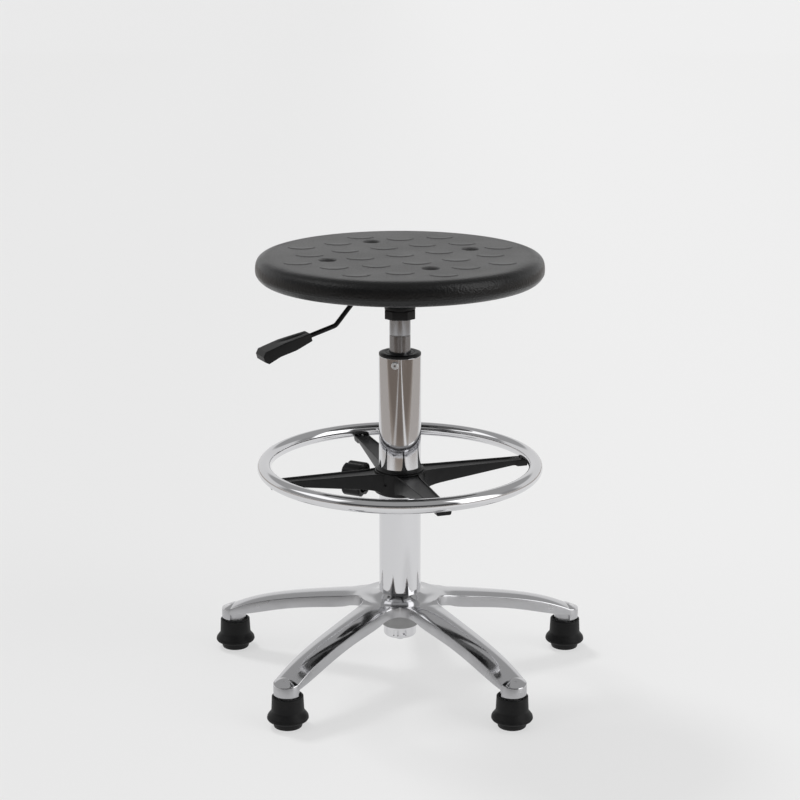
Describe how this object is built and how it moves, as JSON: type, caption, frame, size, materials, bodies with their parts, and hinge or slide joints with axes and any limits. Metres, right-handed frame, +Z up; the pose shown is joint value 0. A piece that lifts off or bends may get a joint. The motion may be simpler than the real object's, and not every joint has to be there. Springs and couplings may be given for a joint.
{
  "type": "drafting stool",
  "caption": "Round moulded seat on a gas-lift column with a release lever, a clamped foot ring on four spokes and a cast star base on rubber feet.",
  "frame": {"origin": "on the column's axis at floor level, under the hub", "axes": "+Z up along the column; one base leg points along +Y and the release lever points towards -X, a little towards -Y"},
  "size_m": [0.4942, 0.4726, 0.5485],
  "materials": {
    "seat_foam": "moulded soft polyurethane skin, fine grain",
    "plywood": "raw birch plywood",
    "zinc_steel": "zinc plated",
    "painted_steel": "black powder coat",
    "black_plastic": "fine spark-eroded texture",
    "black_nylon": "glass-filled nylon, semi-matte",
    "satin_chrome": "satin",
    "bright_chrome": "bright",
    "polished_aluminium": "polished top, satin sides",
    "foot_rubber": "moulded",
    "brass": "turned",
    "bearing_steel": "ground"
  },
  "bodies": {
    "base": {"star_base": "polished_aluminium", "column_tube": "bright_chrome", "guide_bush": "black_plastic", "guide_screw": "zinc_steel", "thrust_washer_lower": "zinc_steel", "bearing_cage": "brass", "bearing_balls": "bearing_steel", "grip_rings": "bearing_steel", "rubber_foot_1": "foot_rubber", "rubber_foot_2": "foot_rubber", "rubber_foot_3": "foot_rubber", "rubber_foot_4": "foot_rubber", "rubber_foot_5": "foot_rubber", "foot_pin_1": "zinc_steel", "foot_pin_2": "zinc_steel", "foot_pin_3": "zinc_steel", "foot_pin_4": "zinc_steel", "foot_pin_5": "zinc_steel"},
    "piston_rod": {"piston_rod": "bearing_steel", "rod_clip": "zinc_steel", "piston": "zinc_steel", "piston_seal": "foot_rubber", "thrust_washer_upper": "zinc_steel"},
    "seat": {"seat_pad": "seat_foam", "seat_insert": "plywood", "seat_screws": "zinc_steel", "seat_washers": "zinc_steel", "weld_nuts": "zinc_steel", "mechanism_plate": "painted_steel", "taper_socket": "painted_steel", "stem_collar": "black_plastic", "gas_cylinder": "satin_chrome", "rod_guide": "black_plastic", "valve_body": "brass", "lever_bracket": "zinc_steel", "lever_pin": "zinc_steel"},
    "lever": {"lever_rod": "painted_steel", "lever_handle": "black_plastic", "pivot_block": "black_plastic"},
    "release_button": {"release_button": "zinc_steel"},
    "ring_sleeve": {"ring_liner": "black_plastic"},
    "foot_ring": {"foot_ring": "bright_chrome", "ring_hub": "black_nylon", "ring_screws": "zinc_steel", "clamp_insert": "brass"},
    "clamp_pad": {"clamp_pad": "brass"},
    "clamp_knob": {"clamp_knob": "black_plastic", "clamp_screw": "zinc_steel", "knob_cap": "black_plastic"}
  },
  "joints": [
    {"name": "seat_swivel", "type": "hinge", "parent": "base", "child": "piston_rod", "pos_m": [0, 0, 0.3], "axis": [0, 0, 1], "continuous": true},
    {"name": "seat_height", "type": "slide", "parent": "piston_rod", "child": "seat", "axis": [0, 0, 1], "range_m": [-0.035, 0.13]},
    {"name": "release_lever", "type": "hinge", "parent": "seat", "child": "lever", "pos_m": [-0.02337, -0.0114, 0.503], "axis": [-0.4384, 0.8988, 0], "range_deg": [0, 7], "stiffness_Nm_per_rad": 4, "springref_deg": -2.86},
    {"name": "release_button_travel", "type": "slide", "parent": "seat", "child": "release_button", "axis": [0, 0, 1], "range_m": [-0.0035, 0]},
    {"name": "foot_ring_height", "type": "slide", "parent": "base", "child": "ring_sleeve", "axis": [0, 0, 1], "range_m": [-0.095, 0.085]},
    {"name": "foot_ring_turn", "type": "hinge", "parent": "ring_sleeve", "child": "foot_ring", "pos_m": [0, 0, 0.26], "axis": [0, 0, 1], "continuous": true},
    {"name": "clamp_travel", "type": "slide", "parent": "foot_ring", "child": "clamp_pad", "axis": [-0.891, 0.454, 0], "range_m": [0, 0.00187]},
    {"name": "clamp_turn", "type": "hinge", "parent": "clamp_pad", "child": "clamp_knob", "pos_m": [-0.05346, 0.02724, 0.2485], "axis": [-0.891, 0.454, 0], "range_deg": [0, 540]}
  ],
  "couplings": [
    {"joint": "release_button_travel", "follows": "release_lever", "m_per_rad": -0.026},
    {"joint": "clamp_turn", "follows": "clamp_travel", "rad_per_m": 5026.5}
  ]
}
